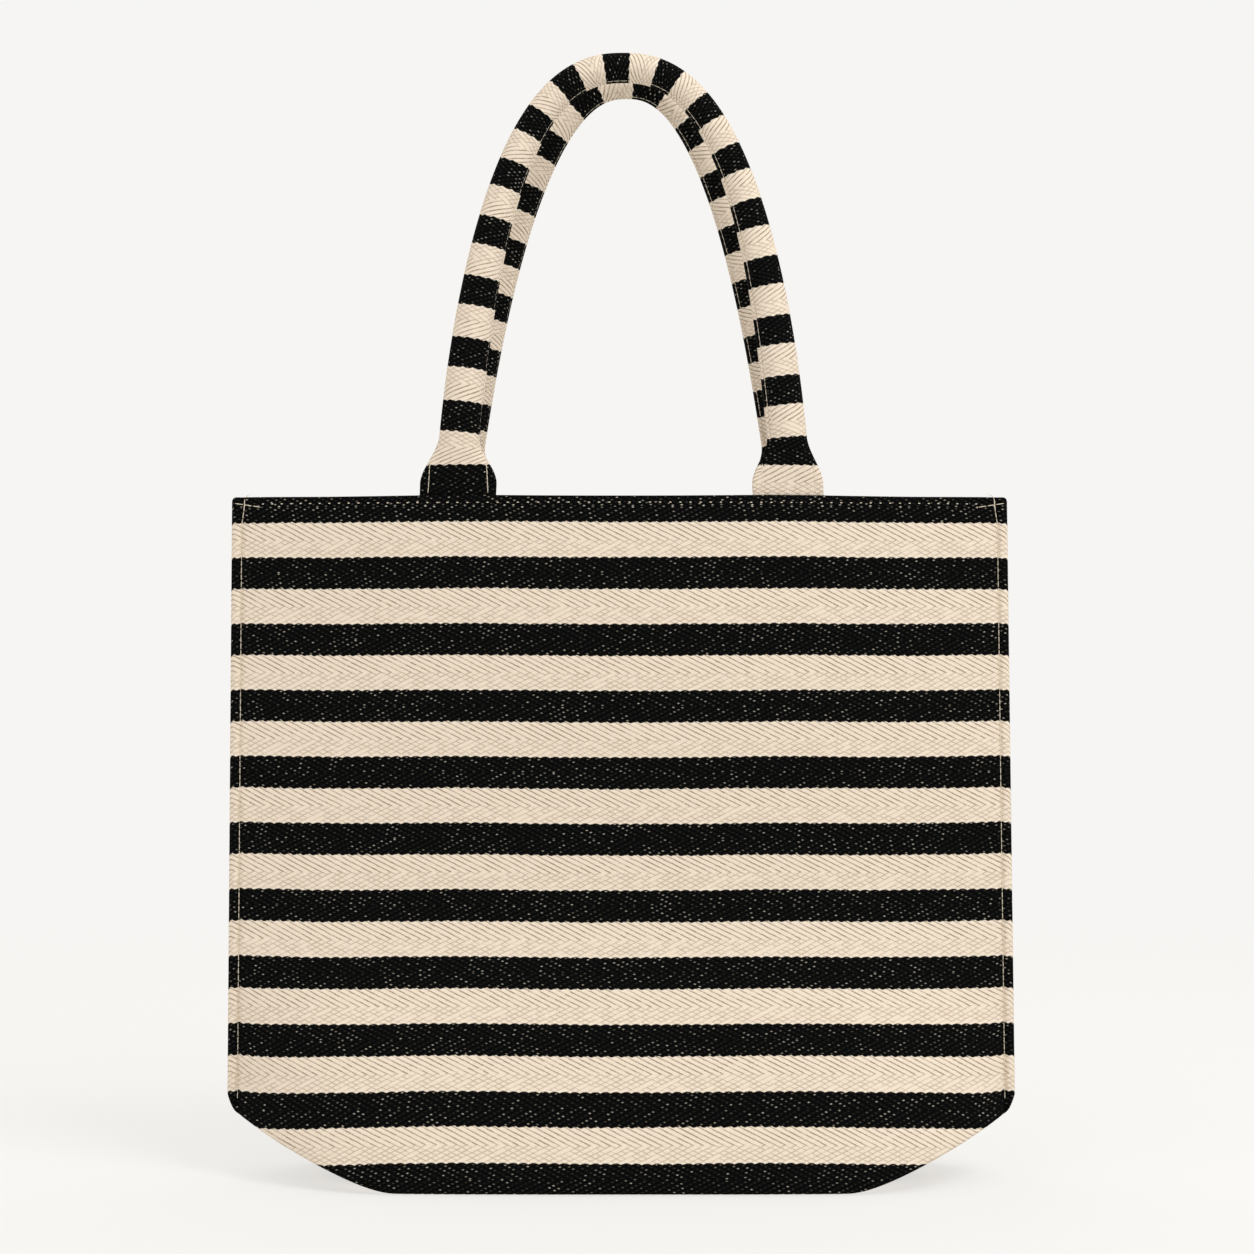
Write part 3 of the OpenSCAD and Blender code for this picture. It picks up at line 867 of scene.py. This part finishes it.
def foot_rows(side):
    """Two rows on each face of each foot, close to its edges."""
    parts = []
    look = handles[side]
    for way in (-1, 1):
        t = way * np.interp(np.linspace(1.5, 17, 60), [-end_depth, flare_h], [1, turn_share])
        h = handle_line(t, look)[1]
        across, _, n = handle_widths(t, h, look)
        wide = look["feet"][0 if way < 0 else 1]
        for edge in (-1, 1):
            for face in (-1, 1):
                c = edge * (foot_row_out(across, h, wide) / across) ** (n / 2)
                angle = np.arctan2(face * np.sqrt(1 - c**2), c)
                path = handle_point(t, angle, side)
                out = unit(path - handle_point(t, angle, side, 0.5))
                parts.append(stitches(path + out * 0.02, out, 3.5, 3.35, 0.5, 0.12))
    return parts


def handle_seam_row(side):
    """Stitches along the closing seam of the tube."""
    t = np.linspace(-0.84, 0.84, 500)
    angle = seam_angle(t, side) + side * 0.11
    path = handle_point(t, angle, side, 0.35)
    out = unit(path - handle_point(t, angle, side, 1.0))
    return [stitches(path, out, 3.6, 3.3, 0.42, 0.08)]


def base_binding():
    """Taped seam along the middle of the base, a rounded strip standing on it."""
    low, high = (np.array(corner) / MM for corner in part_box("base_seam_binding"))
    x = np.linspace(low[0], high[0], 120)
    z = underside(x) + cloth_t + lay_gap + 4
    y = 0.25 * np.sin(x / 19)
    path = np.stack([x, y, z], -1)
    return [bar(path, same(along_y, 120), same(along_z, 120), 1.5, 4.0, 4.0, 20)]


def corner_strip(node):
    """Taped seam across one boxed corner."""
    low, high = (np.array(corner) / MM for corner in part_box(node))
    middle, size = (low + high) / 2, high - low
    y = np.linspace(low[1], high[1], 60)
    path = np.stack([middle[0] + 0 * y, y, middle[2] + 0 * y], -1)
    return [bar(path, same(along_x, 60), same(along_z, 60), size[0] / 2, size[2] / 2, 4.0, 20)]


def add(name, parts, material, slot, body, *nodes):
    """Makes a piece that rides on a body and stands for its nodes."""
    made = piece(name, parts, material)
    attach(made, body)
    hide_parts(*nodes)
    return made


def add_bending(name, parts, material, slot, body, side, *nodes):
    """Makes a piece of a handle with its place baked into its points, and hides its nodes; it rides on no
    body.
    """
    made = piece(name, parts, material)
    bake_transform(made)
    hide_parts(*nodes)
    return made


for side, look in handles.items():
    name = look["name"]
    panel = add(f"{name}_panel_cloth", [panel_cloth(side)], striped, "striped_canvas", "bag",
                f"{name}_panel")
    hem = add(f"{name}_hem_band", [hem_facing(side)], facing, "facing_canvas", "bag",
              f"{name}_hem_facing")
    add(f"{name}_rim_stitches", hem_row(3.5, side), thread, "cotton_thread", "bag",
        f"{name}_rim_stitching")
    add(f"{name}_hem_stitches", hem_row(28.5, side), thread, "cotton_thread", "bag",
        f"{name}_hem_stitching")
    add(f"{name}_tack_stitches", tack_rows(side), thread, "cotton_thread", "bag",
        f"{name}_tack_stitching")
    cover = add_bending(f"{name}_handle_cloth", [handle_cloth(side)], striped, "striped_canvas",
                        f"{name}_handle", side, f"{name}_handle_cover", f"{name}_handle_ends")
    add_bending(f"{name}_foot_stitches", foot_rows(side), thread, "cotton_thread",
                f"{name}_handle", side, f"{name}_foot_stitching")
    add(f"{name}_seam_stitches", handle_seam_row(side), thread, "cotton_thread",
        f"{name}_handle", f"{name}_handle_seam_stitching")
    add(f"{name}_handle_rope", handle_rope(side), cord, "cotton_cord",
        f"{name}_handle", f"{name}_handle_cord")

for name, way in {"left": -1, "right": 1}.items():
    z = np.linspace(float(underside(seam_x + 4)) + 9, rim - 3, 60)
    add(f"{name}_seam_edges", [seam_edge(way, z)], facing, "facing_canvas", "bag",
        f"{name}_seam_allowance")
    add(f"{name}_side_stitches", side_rows(way) + corner_knots(way), thread, "cotton_thread", "bag",
        f"{name}_side_stitching")
    add(f"{name}_corner_tape", corner_strip(f"{name}_corner_binding"), tape, "cotton_tape", "bag",
        f"{name}_corner_binding")
add("base_seam_tape", base_binding(), tape, "cotton_tape", "bag", "base_seam_binding")

# ---- floor, light and camera -------------------------------------------------

backdrop = colour(246, 245, 243)
floor_colour = (0.30, 0.295, 0.286, 1.0)
floor_glow = 0.665


def floor_finish():
    """Pale matt floor that fades out evenly with distance from the bag."""
    f = Finish("pale_floor")
    spot = f.node("ShaderNodeTexCoord", {}, {}, "Object")
    away = f.node("ShaderNodeVectorMath", {"operation": "LENGTH"}, {0: spot}, "Value")
    body = f.node("ShaderNodeBsdfPrincipled", {}, {
        "Base Color": floor_colour, "Roughness": 1.0, "Specular IOR Level": 0.0,
        "Emission Color": backdrop, "Emission Strength": floor_glow})
    clear = f.node("ShaderNodeBsdfTransparent", {}, {})
    f.close(f.node("ShaderNodeMixShader", {}, {0: away.between(0.5, 1.6), 1: body, 2: clear}))
    return f.material


def floor_disc():
    """Round floor a little below the bag: rings of points, and one face in the middle."""
    radii, sides, drop = [0.02, 0.4, 0.9, 1.7], 96, 0.0004
    turn = np.radians(np.linspace(0, 360, sides + 1)[:-1])
    rings = np.stack([np.outer(radii, np.cos(turn)), np.outer(radii, np.sin(turn)),
                      np.full((len(radii), sides), -drop)], -1)
    number = np.arange(len(radii))[:, None] * sides + np.arange(sides + 1)[None, :] % sides
    faces = number.reshape(-1)[cells(len(radii), sides + 1)][:, ::-1].tolist() + [list(range(sides))]
    mesh = bpy.data.meshes.new("floor")
    mesh.from_pydata(rings.reshape(-1, 3).tolist(), [], faces)
    mesh.materials.append(floor_finish())
    made = bpy.data.objects.new("floor", mesh)
    bpy.context.scene.collection.objects.link(made)
    return made


floor = floor_disc()

world = bpy.data.worlds.new("studio")
world.use_nodes = True
world.node_tree.nodes["Background"].inputs["Color"].default_value = backdrop
world.node_tree.nodes["Background"].inputs["Strength"].default_value = 1.0
bpy.context.scene.world = world
bpy.context.scene.view_settings.view_transform = "Standard"


def softbox(name, place, aim, size, power):
    """Square lamp at a place, turned to face the aim."""
    lamp = bpy.data.lights.new(name, "AREA")
    lamp.shape = "SQUARE"
    lamp.size = size
    lamp.energy = power
    made = bpy.data.objects.new(name, lamp)
    way = np.array(aim) - np.array(place)
    flat = math.hypot(way[0], way[1])
    made.rotation_euler = (math.atan2(flat, -way[2]), 0, math.atan2(-way[0], way[1]))
    made.location = place
    made.visible_camera = False
    bpy.context.scene.collection.objects.link(made)


softbox("top_light", (1.5, -1.6, 2.9), (0, 0, 0.2), 1.4, 39)

lens = bpy.data.cameras.new("camera")
lens.sensor_width = 36
lens.lens = 80.498
camera = bpy.data.objects.new("camera", lens)
camera.location = (0.0035, -1.5, 0.293)
camera.rotation_euler = (math.radians(90), 0, 0)
bpy.context.scene.collection.objects.link(camera)
bpy.context.scene.camera = camera
